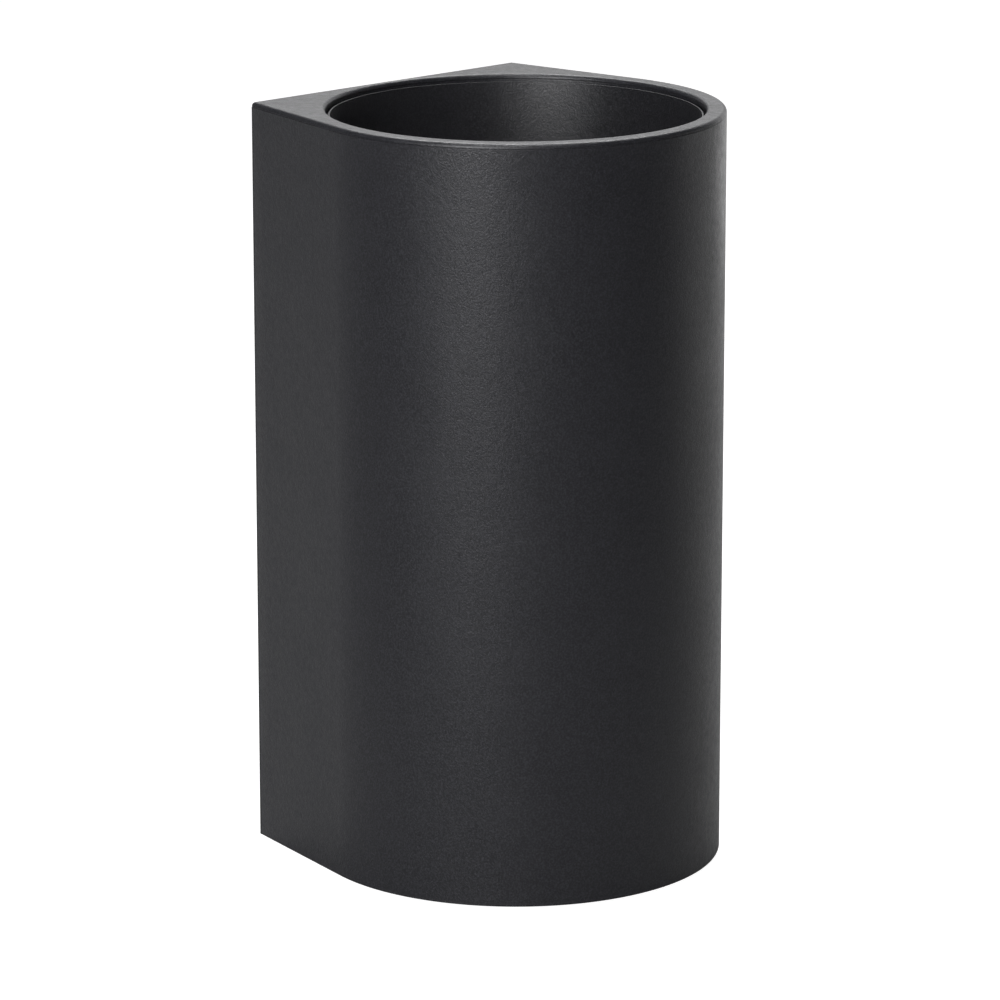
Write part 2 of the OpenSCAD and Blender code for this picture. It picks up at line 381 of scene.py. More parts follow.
def cut_out(piece, shapes):
    """Cuts closed shapes out of a piece."""
    cutter = make_mesh(piece.name + "_cutter", *join_shapes(shapes))
    cut = piece.modifiers.new("Holes", "BOOLEAN")
    cut.operation = "DIFFERENCE"
    cut.solver = "EXACT"
    cut.object = cutter
    settle(piece)
    bpy.data.objects.remove(cutter)
    piece.data.set_sharp_from_angle(angle=math.radians(SHARP_FROM))


def place(piece, body, slot, node):
    """Gives a finished piece its slot's finish and its body, and hides the CAD node it stands for."""
    if not piece.data.polygons:
        raise RuntimeError(f"{piece.name} came out empty")
    piece.data.materials.clear()
    piece.data.materials.append(finish(slot))
    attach(piece, body)
    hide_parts(node)


def dress(node, slot):
    """Puts a slot's finish on a CAD node that stays as it is."""
    shown = frame["nodes"][node]
    if not shown.material_slots:
        shown.data.materials.append(finish(slot))
    for entry in shown.material_slots:
        entry.material = finish(slot)


def soft_copy(node, body, slot, width):
    """A copy of a CAD node of pressed sheet, with its doubles merged and its edges softened."""
    name = node + "_pressed"
    mesh = frame["nodes"][node].data.copy()
    bm = bmesh.new()
    bm.from_mesh(mesh)
    bmesh.ops.remove_doubles(bm, verts=bm.verts, dist=1e-6)
    bmesh.ops.dissolve_limit(bm, angle_limit=math.radians(1.0), verts=bm.verts, edges=bm.edges)
    bm.to_mesh(mesh)
    bm.free()
    mesh.name = name
    piece = show(bpy.data.objects.new(name, mesh))
    mesh.shade_smooth()
    mesh.set_sharp_from_angle(angle=math.radians(SHARP_FROM))
    soften(piece, width, 2, 40.0)
    place(piece, body, slot, node)


# ---------------------------------------------------------------------------
# Node trees
# ---------------------------------------------------------------------------


def feed(tree, source, socket):
    """Puts a plain value on a socket, or links another node's output to it."""
    if isinstance(source, bpy.types.NodeSocket):
        tree.links.new(source, socket)
    else:
        socket.default_value = source


def add_node(tree, kind, x, y, feeds=None, **settings):
    """A new node at a place in its tree, with its settings and what feeds its sockets."""
    made = tree.nodes.new(kind)
    made.location = (x, y)
    for key, value in settings.items():
        setattr(made, key, value)
    for socket, source in (feeds or {}).items():
        feed(tree, source, made.inputs[socket])
    return made


def add_sockets(tree, inputs, outputs):
    """Gives a group its named sockets, as (label, kind, default), and its two end nodes."""
    for way, sockets in (("INPUT", inputs), ("OUTPUT", outputs)):
        for label, kind, default in sockets:
            socket = tree.interface.new_socket(label, in_out=way, socket_type="NodeSocket" + kind)
            if default is not None:
                socket.default_value = default
    given = add_node(tree, "NodeGroupInput", -1400, 0)
    return given.outputs, add_node(tree, "NodeGroupOutput", 900, 0).inputs


# ---------------------------------------------------------------------------
# Repeated fasteners
# ---------------------------------------------------------------------------


def fastener_tree():
    """Geometry nodes: a domed head and a shank at every point, turned to the point's own direction."""
    name = "Rivet Row"
    if name in bpy.data.node_groups:
        return bpy.data.node_groups[name]
    tree = bpy.data.node_groups.new(name, "GeometryNodeTree")
    given, out = add_sockets(
        tree,
        [("Geometry", "Geometry", None), ("Head Radius", "Float", 0.003), ("Head Height", "Float", 0.001),
         ("Shank Radius", "Float", 0.0016), ("Shank Length", "Float", 0.004),
         ("Tail Radius", "Float", 0.003), ("Tail Height", "Float", 0.0008), ("Finish", "Material", None)],
        [("Geometry", "Geometry", None)],
    )

    def moved(geometry, share, y):
        """Geometry lowered by a share of the shank's length."""
        drop = add_node(tree, "ShaderNodeMath", -1100, y, {0: given["Shank Length"], 1: -share},
                        operation="MULTIPLY")
        down = add_node(tree, "ShaderNodeCombineXYZ", -880, y, {"Z": drop.outputs[0]})
        feeds = {"Geometry": geometry, "Translation": down.outputs["Vector"]}
        return add_node(tree, "GeometryNodeTransform", -640, y, feeds).outputs["Geometry"]

    def dome(part, y):
        """A ball squashed to the radius and height of the head or tail."""
        feeds = {"Segments": 28, "Rings": 14, "Radius": 1.0}
        ball = add_node(tree, "GeometryNodeMeshUVSphere", -1100, y, feeds)
        wide, tall = given[part + " Radius"], given[part + " Height"]
        size = add_node(tree, "ShaderNodeCombineXYZ", -1100, y - 200, {"X": wide, "Y": wide, "Z": tall})
        feeds = {"Geometry": ball.outputs["Mesh"], "Scale": size.outputs["Vector"]}
        return add_node(tree, "GeometryNodeTransform", -880, y, feeds).outputs["Geometry"]

    head = dome("Head", 500)
    tail = moved(dome("Tail", 0), 1.0, -380)
    feeds = {"Vertices": 24, "Radius": given["Shank Radius"], "Depth": given["Shank Length"]}
    bar = add_node(tree, "GeometryNodeMeshCylinder", -1100, -600, feeds)
    shank = moved(bar.outputs["Mesh"], 0.5, -840)
    joined = add_node(tree, "GeometryNodeJoinGeometry", -400, 0)
    for part in (head, tail, shank):
        tree.links.new(part, joined.inputs["Geometry"])
    smooth = add_node(tree, "GeometryNodeSetShadeSmooth", -200, 0, {"Geometry": joined.outputs["Geometry"]})
    facing = add_node(tree, "GeometryNodeInputNamedAttribute", -400, -300, {"Name": "facing"},
                      data_type="FLOAT_VECTOR")
    feeds = {"Vector": facing.outputs["Attribute"]}
    turn = add_node(tree, "FunctionNodeAlignRotationToVector", -200, -300, feeds, axis="Z")
    feeds = {"Points": given["Geometry"], "Instance": smooth.outputs["Geometry"],
             "Rotation": turn.outputs["Rotation"]}
    spread = add_node(tree, "GeometryNodeInstanceOnPoints", 60, 0, feeds)
    real = add_node(tree, "GeometryNodeRealizeInstances", 300, 0, {"Geometry": spread.outputs["Instances"]})
    feeds = {"Geometry": real.outputs["Geometry"], "Material": given["Finish"]}
    coated = add_node(tree, "GeometryNodeSetMaterial", 520, 0, feeds)
    tree.links.new(coated.outputs["Geometry"], out["Geometry"])
    return tree


def rivets(name, body, slot, node, spots, sizes):
    """A group of fasteners at (point, outward direction) spots, in place of its CAD node."""
    mesh = bpy.data.meshes.new(name)
    mesh.from_pydata([tuple(p) for p, _ in spots], [], [])
    facing = mesh.attributes.new("facing", "FLOAT_VECTOR", "POINT")
    for i, (_, way) in enumerate(spots):
        facing.data[i].vector = tuple(way)
    piece = show(bpy.data.objects.new(name, mesh))
    tree = fastener_tree()
    modifier = piece.modifiers.new("Rivets", "NODES")
    modifier.node_group = tree
    values = dict(sizes, Finish=finish(slot))
    for item in tree.interface.items_tree:
        if item.item_type == "SOCKET" and item.in_out == "INPUT" and item.name in values:
            modifier[item.identifier] = values[item.name]
    settle(piece)
    piece.data.set_sharp_from_angle(angle=math.radians(50))
    place(piece, body, slot, node)


def fastener(head, shank, tail):
    """Sizes of a fastener from its head's, shank's and tail's radius and height or length."""
    return {
        "Head Radius": head[0],
        "Head Height": head[1],
        "Shank Radius": shank[0],
        "Shank Length": shank[1],
        "Tail Radius": tail[0],
        "Tail Height": tail[1],
    }


# ---------------------------------------------------------------------------
# Finishes
# ---------------------------------------------------------------------------


def noise(tree, x, y, scale, detail, rough, vector):
    """A noise texture's value."""
    feeds = {"Scale": scale, "Detail": detail, "Roughness": rough, "Vector": vector}
    return add_node(tree, "ShaderNodeTexNoise", x, y, feeds).outputs["Fac"]


def remap(tree, x, y, source, low, high, to_low, to_high):
    """A range of one value turned into another range."""
    feeds = {"Value": source, "From Min": low, "From Max": high, "To Min": to_low, "To Max": to_high}
    return add_node(tree, "ShaderNodeMapRange", x, y, feeds).outputs["Result"]


def shader_group(name, values, outputs, build):
    """A shader group built once, with a vector and float inputs, and float outputs filled by build."""
    if name in bpy.data.node_groups:
        return bpy.data.node_groups[name]
    tree = bpy.data.node_groups.new(name, "ShaderNodeTree")
    inputs = [("Vector", "Vector", None)] + [(label, "Float", default) for label, default in values.items()]
    given, out = add_sockets(tree, inputs, [(label, "Float", None) for label in outputs])
    for label, result in zip(outputs, build(tree, given)):
        tree.links.new(result, out[label])
    return tree


def powder_grain():
    """Fine orange-peel of a powder coat: height, fleck mask and a roughness shift."""

    def build(tree, given):
        """Fine grain over a broader peel."""
        grain = noise(tree, -900, 300, given["Grain Scale"], 3.0, 0.6, given["Vector"])
        peel = noise(tree, -900, 0, given["Peel Scale"], 1.5, 0.5, given["Vector"])
        feeds = {"Factor": given["Peel Share"], "A": grain, "B": peel}
        height = add_node(tree, "ShaderNodeMix", -500, 200, feeds, data_type="FLOAT").outputs["Result"]
        fleck = remap(tree, -500, -100, grain, 0.42, 0.68, 0.0, 1.0)
        return height, fleck, remap(tree, -500, -400, peel, 0.3, 0.7, -0.04, 0.05)

    values = {"Grain Scale": 900.0, "Peel Scale": 260.0, "Peel Share": 0.4}
    return shader_group("Powder Grain", values, ("Height", "Fleck", "Rough"), build)


def handling_marks():
    """Broad, faint cloudiness and sparse rub marks from use: two masks."""

    def build(tree, given):
        """Soft clouds, and thin marks that run upright."""
        cloud = noise(tree, -900, 200, given["Cloud Scale"], 3.0, 0.55, given["Vector"])
        feeds = {"Scale": (1.0, 1.0, 0.18), "Vector": given["Vector"]}
        stretch = add_node(tree, "ShaderNodeMapping", -1000, -200, feeds).outputs["Vector"]
        rub = noise(tree, -780, -200, given["Rub Scale"], 4.0, 0.7, stretch)
        level = remap(tree, -500, 200, cloud, 0.3, 0.7, 0.0, 1.0)
        return level, remap(tree, -500, -200, rub, 0.66, 0.78, 0.0, 1.0)

    return shader_group("Handling Marks", {"Cloud Scale": 24.0, "Rub Scale": 60.0}, ("Cloud", "Rub"), build)


def brushed_lines():
    """Lines of a brushed sheet that run round the upright axis: height and streak mask."""

    def build(tree, given):
        """Noise over the distance from the axis and the height."""
        split = add_node(tree, "ShaderNodeSeparateXYZ", -1000, 0, {"Vector": given["Vector"]}).outputs
        back = add_node(tree, "ShaderNodeMath", -820, -120, {0: split["Y"], 1: given["Centre Y"]},
                        operation="SUBTRACT")
        flat = add_node(tree, "ShaderNodeCombineXYZ", -640, 0, {"X": split["X"], "Y": back.outputs[0]})
        feeds = {0: flat.outputs["Vector"]}
        span = add_node(tree, "ShaderNodeVectorMath", -460, 0, feeds, operation="LENGTH")
        line = add_node(tree, "ShaderNodeCombineXYZ", -280, 0, {"X": span.outputs["Value"], "Y": split["Z"]})
        lines = noise(tree, -100, 0, given["Line Scale"], 4.0, 0.7, line.outputs["Vector"])
        return lines, remap(tree, 300, -200, lines, 0.3, 0.7, 0.0, 1.0)

    values = {"Line Scale": 1500.0, "Centre Y": 0.0035}
    return shader_group("Brushed Lines", values, ("Height", "Streak"), build)


def new_material(name):
    """Material with a Principled shader and Object coordinates."""
    made = bpy.data.materials.new(name)
    made.use_nodes = True
    tree = made.node_tree
    tree.nodes.clear()
    shader = add_node(tree, "ShaderNodeBsdfPrincipled", 300, 0)
    add_node(tree, "ShaderNodeOutputMaterial", 600, 0, {"Surface": shader.outputs["BSDF"]})
    where = add_node(tree, "ShaderNodeTexCoord", -1400, 0).outputs["Object"]
    return made, tree, shader.inputs, where


def use_group(tree, group, y, vector, **values):
    """The outputs of a shader group placed in a material, with its own values."""
    made = add_node(tree, "ShaderNodeGroup", -1100, y, node_tree=group)
    tree.links.new(vector, made.inputs["Vector"])
    for key, value in values.items():
        made.inputs[key.replace("_", " ")].default_value = value
    return made.outputs


def mix_colour(tree, x, y, factor, first, second):
    """Colour between two colours, each a value or another node's output."""
    made = add_node(tree, "ShaderNodeMix", x, y, data_type="RGBA", blend_type="MIX")
    for socket, source in ((0, factor), (6, first), (7, second)):
        feed(tree, source, made.inputs[socket])
    return made.outputs[2]


def shade(colour, factor):
    """A colour made darker or lighter, with its alpha."""
    return tuple(min(1.0, c * factor) for c in colour) + (1.0,)


def bump(tree, sockets, height, strength, distance):
    """Surface relief on the shader's normal."""
    feeds = {"Strength": strength, "Distance": distance, "Height": height}
    tree.links.new(add_node(tree, "ShaderNodeBump", 60, -400, feeds).outputs["Normal"], sockets["Normal"])


def add_values(tree, x, y, first, second, scale=1.0):
    """first + second * scale."""
    feeds = {0: second, 1: scale, 2: first}
    return add_node(tree, "ShaderNodeMath", x, y, feeds, operation="MULTIPLY_ADD").outputs[0]


def powder_coat(name, colour, rough, fleck=2.3):
    """Dark fine-texture powder coat on steel."""
    made, tree, sockets, where = new_material(name)
    grain = use_group(tree, powder_grain(), 200, where)
    marks = use_group(tree, handling_marks(), -200, where)
    base = mix_colour(tree, -700, 200, marks["Cloud"], shade(colour, 0.93), shade(colour, 1.07))
    flecks = mix_colour(tree, -450, 200, grain["Fleck"], base, shade(colour, fleck))
    tree.links.new(flecks, sockets["Base Color"])
    level = add_values(tree, -450, -100, rough - 0.03, grain["Rough"])
    cloudy = add_values(tree, -350, -100, level, marks["Cloud"], 0.06)
    worn = add_values(tree, -250, -100, cloudy, marks["Rub"], -0.06)
    tree.links.new(worn, sockets["Roughness"])
    sockets["Specular IOR Level"].default_value = 0.5
    sockets["Specular Tint"].default_value = (0.985, 0.985, 1.0, 1.0)
    bump(tree, sockets, grain["Height"], 1.0, 0.0003)
    return made


def plated(name, colour, rough):
    """Dull zinc plating with a soft spangle."""
    made, tree, sockets, where = new_material(name)
    marks = use_group(tree, handling_marks(), 0, where, Cloud_Scale=140.0, Rub_Scale=300.0)
    base = mix_colour(tree, -700, 100, marks["Cloud"], shade(colour, 0.8), shade(colour, 1.12))
    tree.links.new(base, sockets["Base Color"])
    sockets["Metallic"].default_value = 1.0
    tree.links.new(add_values(tree, -450, -100, rough, marks["Cloud"], 0.1), sockets["Roughness"])
    bump(tree, sockets, marks["Cloud"], 0.12, 0.0001)
    return made


def brushed(name, colour, rough):
    """Stainless sheet spun and brushed round its axis."""
    made, tree, sockets, where = new_material(name)
    lines = use_group(tree, brushed_lines(), 200, where)
    marks = use_group(tree, handling_marks(), -200, where, Cloud_Scale=25.0)
    base = mix_colour(tree, -700, 100, lines["Streak"], shade(colour, 0.84), shade(colour, 1.1))
    soot = mix_colour(tree, -450, 100, marks["Rub"], base, shade(colour, 0.45))
    tree.links.new(soot, sockets["Base Color"])
    sockets["Metallic"].default_value = 1.0
    tree.links.new(add_values(tree, -450, -150, rough, marks["Cloud"], 0.12), sockets["Roughness"])
    bump(tree, sockets, lines["Height"], 0.15, 0.00008)
    return made


def moulded(name, colour, rough, grain_scale, depth):
    """Matt rubber or plastic with a fine moulded grain."""
    made, tree, sockets, where = new_material(name)
    grain = use_group(tree, powder_grain(), 200, where, Grain_Scale=grain_scale, Peel_Share=0.15)
    marks = use_group(tree, handling_marks(), -200, where, Cloud_Scale=40.0)
    base = mix_colour(tree, -700, 100, marks["Cloud"], shade(colour, 0.85), shade(colour, 1.4))
    tree.links.new(base, sockets["Base Color"])
    tree.links.new(add_values(tree, -450, -100, rough, grain["Rough"], 1.2), sockets["Roughness"])
    bump(tree, sockets, grain["Height"], depth, 0.00015)
    return made


# For each slot: how its material is made, its name, its colour and its own values
FINISHES = {
    "powder_coat": (powder_coat, "Powder Coat Dark Grey", "powder", {"rough": 0.37}),
    # The liner's coat is the casing's powder coat made darker, as painted shade for the inside of the mouth
    "liner_coat": (powder_coat, "Liner Coat Dark Grey", "liner", {"rough": 0.38}),
    "zinc_plate": (plated, "Zinc Plate", "zinc", {"rough": 0.42}),
    "stainless": (brushed, "Brushed Stainless", "stainless", {"rough": 0.27}),
    "black_rubber": (moulded, "Black Rubber", "rubber",
                     {"rough": 0.72, "grain_scale": 1400.0, "depth": 0.2}),
    "black_plastic": (moulded, "Black Moulded Plastic", "plastic",
                      {"rough": 0.48, "grain_scale": 1800.0, "depth": 0.12}),
}


def finish(slot):
    """The material of a slot, made the first time it is needed."""
    make, name, colour, values = FINISHES[slot]
    if name in bpy.data.materials:
        return bpy.data.materials[name]
    return make(name, tuple(getattr(bpy.context.scene.bin_finishes, colour)), **values)


# ---------------------------------------------------------------------------
# Operators
# ---------------------------------------------------------------------------


class BIN_OT_front_shell(bpy.types.Operator):
    """Build the rolled front sheet with its return flanges"""

    bl_idname = "bin.front_shell"
    bl_label = "Front Shell"

    def execute(self, context):
        casing = context.scene.bin_casing
        low, high = node_low("front_shell").z, node_high("front_shell").z
        t, fold, soft = casing.sheet, 0.0004, 0.0003
        outer = plan(casing, 0.0, t, corner=fold)
        inner = plan(casing, t, 2 * t, corner=fold)
        # the outline's last points run across the open back and are left out
        seen = len(outer) - (BACK_STEPS - 1)
        edge = outer[seen - 1].x - casing.flange
        sides = []
        for line, depth in ((outer[:seen], t), (inner[:seen], 2 * t)):
            y = casing.back_distance - depth + centre_y(casing)
            sides.append([Vector((-edge, y))] + line + [Vector((edge, y))])
        loop = sides[0] + sides[1][::-1]
        points = at_height(loop, low) + at_height(loop, high)
        count, half = len(loop), len(sides[0])
        faces = [(k, (k + 1) % count, count + (k + 1) % count, count + k) for k in range(count)]
        for k in range(half - 1):
            m = count - 1 - k
            faces.append((k, m, m - 1, k + 1))
            faces.append((count + k, count + k + 1, count + m - 1, count + m))
        piece = make_mesh("front_shell_skin", points, faces)
        soften(piece, soft)
        place(piece, "casing", "powder_coat", "front_shell")
        return {"FINISHED"}


class BIN_OT_back_panel(bpy.types.Operator):
    """Build the flat back panel with its fixing and rivet holes"""

    bl_idname = "bin.back_panel"
    bl_label = "Back Panel"

    def execute(self, context):
        casing = context.scene.bin_casing
        low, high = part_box("back_panel")
        t, y, soft = casing.sheet, casing.back_distance, casing.back_corner
        wide, back = casing.back_width / 2, axis_point(casing)
        section = fillet([(-high.x, y - t), (high.x, y - t), (wide, y), (-wide, y)], [0, 0, soft, soft], 4)
        section = [p + back for p in section]
        points, faces = loft([at_height(section, low.z), at_height(section, high.z)], caps=True)
        piece = make_mesh("back_panel_sheet", points, faces)
        punch = 6 * t
        cut_out(piece, [cross_bar(spot, r, punch) for spot, r in panel_holes()])
        for face in piece.data.polygons:
            if abs(face.normal.y) > 0.9999:
                face.use_smooth = False
        place(piece, "casing", "powder_coat", "back_panel")
        return {"FINISHED"}


# Rivets in one column of the back panel, the radius of their heads and of the holes for them
RIVET_ROWS = 5
RIVET_HEAD = 0.0038
RIVET_HOLE = 0.00215


def rivet_columns():
    """Points on the back face where the rivets sit."""
    low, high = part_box("back_rivets")
    rise = high.z - low.z - 2 * RIVET_HEAD
    spots = []
    for x in (low.x + RIVET_HEAD, high.x - RIVET_HEAD):
        for k in range(RIVET_ROWS):
            spots.append(Vector((x, high.y, low.z + RIVET_HEAD + rise * k / (RIVET_ROWS - 1))))
    return spots


def panel_holes():
    """Every hole of the back panel, with its radius."""
    low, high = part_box("back_panel")
    y = (low.y + high.y) / 2
    mount = [m for m in frame["record"]["mounts"] if m["name"] == "wall_fixings"][0]
    dims, middle = mount["dims"], mount["pos_m"]
    spots = []
    for side in (-0.5, 0.5):
        for level in (-0.5, 0.5):
            x = middle[0] + side * dims["spacing_x_mm"] / 1000
            z = middle[2] + level * dims["spacing_y_mm"] / 1000
            spots.append((Vector((x, y, z)), dims["hole_r_mm"] / 1000))
    spots += [(Vector((p.x, y, p.z)), RIVET_HOLE) for p in rivet_columns()]
    return spots


class BIN_OT_top_plate(bpy.types.Operator):
    """Build the top plate with its round mouth and rounded edges"""

    bl_idname = "bin.top_plate"
    bl_label = "Top Plate"

    def execute(self, context):
        casing = context.scene.bin_casing
        low, high = node_low("top_plate").z, node_high("top_plate").z
        middle = axis_point(casing)
        rim, mouth, soft = casing.outer_edge, casing.mouth_radius, casing.mouth_edge
        under, flat, steps = 0.0003, 0.0004, 7
        widest, tightest = 0.0016, 0.0006
        bearings = [math.atan2(p.y - middle.y, p.x - middle.x) for p in plan(casing)]

        def outline(inset, z):
            """The plate's D outline, moved in."""
            return at_height(plan(casing, inset, inset, corner=max(widest - inset, tightest)), z)

        def circle(r, z):
            """A circle with its points at the outline's own bearings."""
            return [on_circle(middle, r, a, z) for a in bearings]

        loops = [outline(under, low), outline(0.0, low + under)]
        turns = [math.pi / 2 * k / steps for k in range(steps + 1)]
        for a in turns:
            loops.append(outline(rim * (1 - math.cos(a)), high - rim * (1 - math.sin(a))))
        loops.append(circle(mouth + soft + flat, high))
        for a in turns:
            loops.append(circle(mouth + soft * (1 - math.sin(a)), high - soft * (1 - math.cos(a))))
        loops += [circle(mouth, low + under), circle(mouth + under, low)]
        points, faces = loft(loops, ring=True)
        piece = make_mesh("top_plate_sheet", points, faces, smooth=40.0)
        place(piece, "casing", "powder_coat", "top_plate")
        return {"FINISHED"}


class BIN_OT_mouth_collar(bpy.types.Operator):
    """Build the guide ring under the mouth"""

    bl_idname = "bin.mouth_collar"
    bl_label = "Guide Ring"

    def execute(self, context):
        casing = context.scene.bin_casing
        low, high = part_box("mouth_collar")
        wall = 0.002
        outer, inner = high.x, high.x - wall
        section = fillet([(inner, low.z), (outer, low.z), (outer, high.z), (inner, high.z)],
                         [0.0008, 0.0004, 0.0002, 0.0002], 4)
        piece = make_mesh("guide_ring", *spin(section, axis_point(casing)))
        place(piece, "casing", "powder_coat", "mouth_collar")
        return {"FINISHED"}


class BIN_OT_casing_fittings(bpy.types.Operator):
    """Build feet, rests, screws and rivets of the casing and finish its plates and straps"""

    bl_idname = "bin.casing_fittings"
    bl_label = "Casing Fittings"

    def execute(self, context):
        casing = context.scene.bin_casing
        dress("base_plate", "powder_coat")
        dress("wall_straps", "zinc_plate")
        build_feet(casing)
        build_rests(casing)
        build_back_rivets(casing)
        return {"FINISHED"}


def build_feet(casing):
    """Four rubber feet, the front pair closer together, and the screws that hold them."""
    low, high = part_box("rubber_feet")
    r, taper, front_x = 0.012, 0.0008, 0.060
    back_x = high.x - r
    floor_z = node_low("base_plate").z + casing.sheet
    section = fillet([(CORE, 0.0), (r - taper, 0.0), (r, high.z), (CORE, high.z)], [0, 0.0007, 0.0004, 0], 4)
    shapes, spots = [], []
    for x, y in ((-front_x, low.y + r), (front_x, low.y + r), (-back_x, high.y - r), (back_x, high.y - r)):
        shapes.append(spin(section, Vector((x, y)), 48, ring=False))
        spots.append((Vector((x, y, floor_z)), Vector((0, 0, 1))))
    piece = make_mesh("rubber_feet_pads", *join_shapes(shapes))
    place(piece, "casing", "black_rubber", "rubber_feet")
    screw = fastener((0.004, 0.0024), (0.0019, 0.0035), (0.0019, 0.0002))
    rivets("foot_screw_set", "casing", "zinc_plate", "foot_screws", spots, screw)


def build_rests(casing):
    """Four dished rubber rests under the liner."""
    low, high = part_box("liner_rests")
    r, taper, middle = 0.010, 0.0006, axis_point(casing)
    well, well_edge, well_depth = 0.003, 0.0035, 0.003
    away = high.x - r
    section = fillet([(CORE, low.z), (r, low.z), (r - taper, high.z), (well_edge, high.z),
                      (well, high.z - well_depth), (CORE, high.z - well_depth)],
                     [0, 0.0003, 0.0012, 0.0004, 0.0003, 0], 4)
    spots = [on_circle(middle, away, math.pi / 2 * k).xy for k in range(4)]
    shapes = [spin(section, spot, 48, ring=False) for spot in spots]
    piece = make_mesh("liner_rest_pads", *join_shapes(shapes))
    place(piece, "casing", "black_rubber", "liner_rests")


def build_back_rivets(casing):
    """Rivets that hold the back panel to the shell's flanges."""
    span, short = 2 * casing.sheet, 0.0003
    spots = [(p - Vector((0, span, 0)), Vector((0, -1, 0))) for p in rivet_columns()]
    sizes = fastener((RIVET_HEAD, 0.0012), (0.002, span - short), (0.00198, 0.0002))
    rivets("back_rivet_set", "casing", "powder_coat", "back_rivets", spots, sizes)


class BIN_OT_liner(bpy.types.Operator):
    """Build the liner's wall and floor and finish its brackets, ears and rivets"""

    bl_idname = "bin.liner"
    bl_label = "Liner"

    def execute(self, context):
        casing, liner = context.scene.bin_casing, context.scene.bin_liner
        middle = axis_point(casing)
        build_liner_wall(liner, middle)
        build_liner_floor(liner, middle)
        for node in ("tray_brackets", "handle_ears"):
            soft_copy(node, "liner", "zinc_plate", liner.bracket_edge)
        build_liner_rivets("bracket_rivets", DIAGONALS, middle)
        build_liner_rivets("ear_rivets", (0, 180), middle)
        return {"FINISHED"}


def build_liner_wall(liner, middle):
    """Round wall of the liner, with a soft outer rim."""
    low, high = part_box("liner_wall")
    outer, inner = liner.radius, liner.radius - liner.sheet
    section = fillet([(inner, low.z), (outer, low.z), (outer, high.z), (inner, high.z)],
                     [0.0002, 0.0004, liner.rim_edge, 0.00015], 5)
    piece = make_mesh("liner_wall_sheet", *spin(section, middle, 224))
    # The wall takes the darker liner coat, painted shade for the inside of the mouth
    place(piece, "liner", "liner_coat", "liner_wall")


def build_liner_floor(liner, middle):
    """Dished floor of the liner, its edge turned up against the wall."""
    low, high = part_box("liner_floor")
    t, pinhole, gap, bend = liner.sheet, 0.0002, 0.00005, 0.003
    edge = liner.radius - t - gap
    line = [(pinhole, low.z + t / 2), (edge - t / 2, low.z + t / 2), (edge - t / 2, high.z)]
    piece = make_mesh("liner_floor_dish", *spin(sheet_section(line, t, bend), middle))
    # The floor takes the darker liner coat, painted shade for the inside of the mouth
    place(piece, "liner", "liner_coat", "liner_floor")


def build_liner_rivets(node, bearings, middle):
    """Pairs of rivets, one above the other, through the liner's wall at each bearing."""
    low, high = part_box(node)
    seat, head = 0.1080, 0.003
    spots = []
    for way in (outward(a) for a in bearings):
        for z in (low.z + head, high.z - head):
            spots.append((Vector((middle.x, middle.y, z)) + way * seat, -way))
    sizes = fastener((head, 0.0011), (0.0016, 0.0034), (head, 0.0008))
    rivets(node + "_set", "liner", "zinc_plate", node, spots, sizes)


class BIN_OT_handle(bpy.types.Operator):
    """Build the bail handle with its upset pins and ribbed grip"""

    bl_idname = "bin.handle"
    bl_label = "Bail Handle"

    def execute(self, context):
        casing, liner = context.scene.bin_casing, context.scene.bin_liner
        low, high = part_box("bail_handle")
        pivot = Vector((0, centre_y(casing), (low.z + high.z) / 2))
        build_bail(liner, pivot, high.x)
        build_grip(liner, pivot)
        return {"FINISHED"}


def build_bail(liner, pivot, end):
    """Bent wire: a pin with an upset head, a tight bend and the bow, mirrored to the other pin."""
    bow, wire, bend, head = liner.bow, liner.wire, 0.0042, 0.0035
    crown, chamfer, shoulder, neck = head * 0.82, 0.0003, 0.0011, 0.0013
    bend_steps, steps = 8, 120
    path = [Vector((end - back, 0, 0)) for back in (0.0, chamfer, shoulder, neck)]
    radii = [crown, head, head, wire]
    for k in range(bend_steps + 1):
        a = math.pi / 2 * k / bend_steps
        path.append(Vector((bow + bend * (1 - math.sin(a)), -bend * (1 - math.cos(a)), 0)))
        radii.append(wire)
    pin = list(zip(path, radii))
    start = math.asin(bend / bow)
    for k in range(1, steps):
        a = -start - (math.pi - 2 * start) * k / steps
        path.append(Vector((bow * math.cos(a), bow * math.sin(a), 0)))
        radii.append(wire)
    for p, r in reversed(pin):
        path.append(Vector((-p.x, p.y, 0)))
        radii.append(r)
    piece = make_mesh("bail_handle_wire", *tube([p + pivot for p in path], radii, 28))
    place(piece, "handle", "stainless", "bail_handle")


def build_grip(liner, pivot):
    """Ribbed sleeve on the middle of the bow, with rounded ends."""
    bow, span, ribs, steps = liner.bow, math.radians(36), 11, 132
    round_end, plain_end, rib_depth, end_share = 0.002, 0.004, 0.00045, 0.66
    path, radii = [], []
    for k in range(steps + 1):
        t = k / steps
        a = -math.pi / 2 - span / 2 + span * t
        path.append(pivot + Vector((bow * math.cos(a), bow * math.sin(a), 0)))
        near = min(t, 1 - t) * span * bow
        full = 1.0
        if near <= round_end:
            full = end_share + (1 - end_share) * math.sqrt(max(0.0, 1 - (1 - near / round_end) ** 2))
        wave = abs(math.sin(math.pi * ribs * t))
        rib = 0.0 if near < plain_end else rib_depth * (1 - wave) ** 2
        radii.append(liner.grip * full - rib)
    piece = make_mesh("handle_grip_sleeve", *tube(path, radii, 32), smooth=45.0)
    place(piece, "handle", "black_plastic", "handle_grip")


